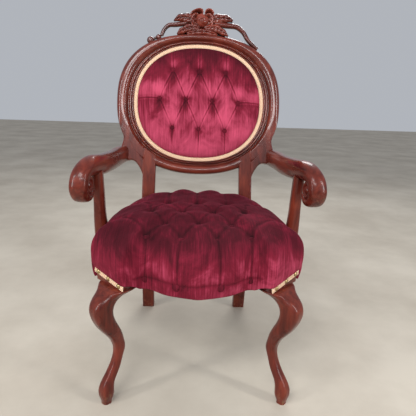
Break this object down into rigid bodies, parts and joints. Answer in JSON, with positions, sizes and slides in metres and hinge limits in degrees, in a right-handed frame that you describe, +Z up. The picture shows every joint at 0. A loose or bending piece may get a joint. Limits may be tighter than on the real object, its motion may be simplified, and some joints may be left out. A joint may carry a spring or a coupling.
{
  "type": "accent chair",
  "caption": "Carved show-wood open armchair with an oval button-tufted back, tufted serpentine seat, scroll arms, cabriole front legs and a rose crest.",
  "frame": {"origin": "on the floor under the middle of the chair's overall box", "axes": "+Z up, the chair faces -Y, +X to the right of someone looking at its front"},
  "size_m": [0.6584, 0.6617, 1.0568],
  "materials": {
    "polished_hardwood": "gloss red-brown lacquer",
    "frame_hardwood": "raw",
    "velvet": "dark red pile",
    "gimp_braid": "woven tan braid",
    "hessian": "open weave",
    "black_cloth": "matte",
    "antique_brass": "aged",
    "spring_steel": "plain wire"
  },
  "bodies": {
    "root": {"arm_dowels": "frame_hardwood", "arm_left": "polished_hardwood", "arm_post_left": "polished_hardwood", "arm_post_right": "polished_hardwood", "arm_post_screws": "spring_steel", "arm_right": "polished_hardwood", "back_bottom_rail": "polished_hardwood", "back_burlap": "hessian", "back_buttons": "velvet", "back_gimp": "gimp_braid", "back_pad": "velvet", "back_stile_left": "polished_hardwood", "back_stile_right": "polished_hardwood", "back_top_rail": "polished_hardwood", "corner_block_screws": "spring_steel", "corner_blocks": "frame_hardwood", "crest_carving": "polished_hardwood", "crest_dowels": "frame_hardwood", "dust_cover": "black_cloth", "front_leg_left": "polished_hardwood", "front_leg_right": "polished_hardwood", "front_rail": "frame_hardwood", "gimp_nails": "antique_brass", "knee_gimp_left": "gimp_braid", "knee_gimp_right": "gimp_braid", "outside_back": "velvet", "outside_back_gimp": "gimp_braid", "post_dowels": "frame_hardwood", "rail_dowels": "frame_hardwood", "rear_post_left": "polished_hardwood", "rear_post_right": "polished_hardwood", "rear_rail": "frame_hardwood", "ring_dowels": "frame_hardwood", "seat_burlap": "hessian", "seat_buttons": "velvet", "seat_pad": "velvet", "seat_springs": "spring_steel", "side_rail_left": "frame_hardwood", "side_rail_right": "frame_hardwood", "spring_clips": "spring_steel"}
  },
  "joints": []
}
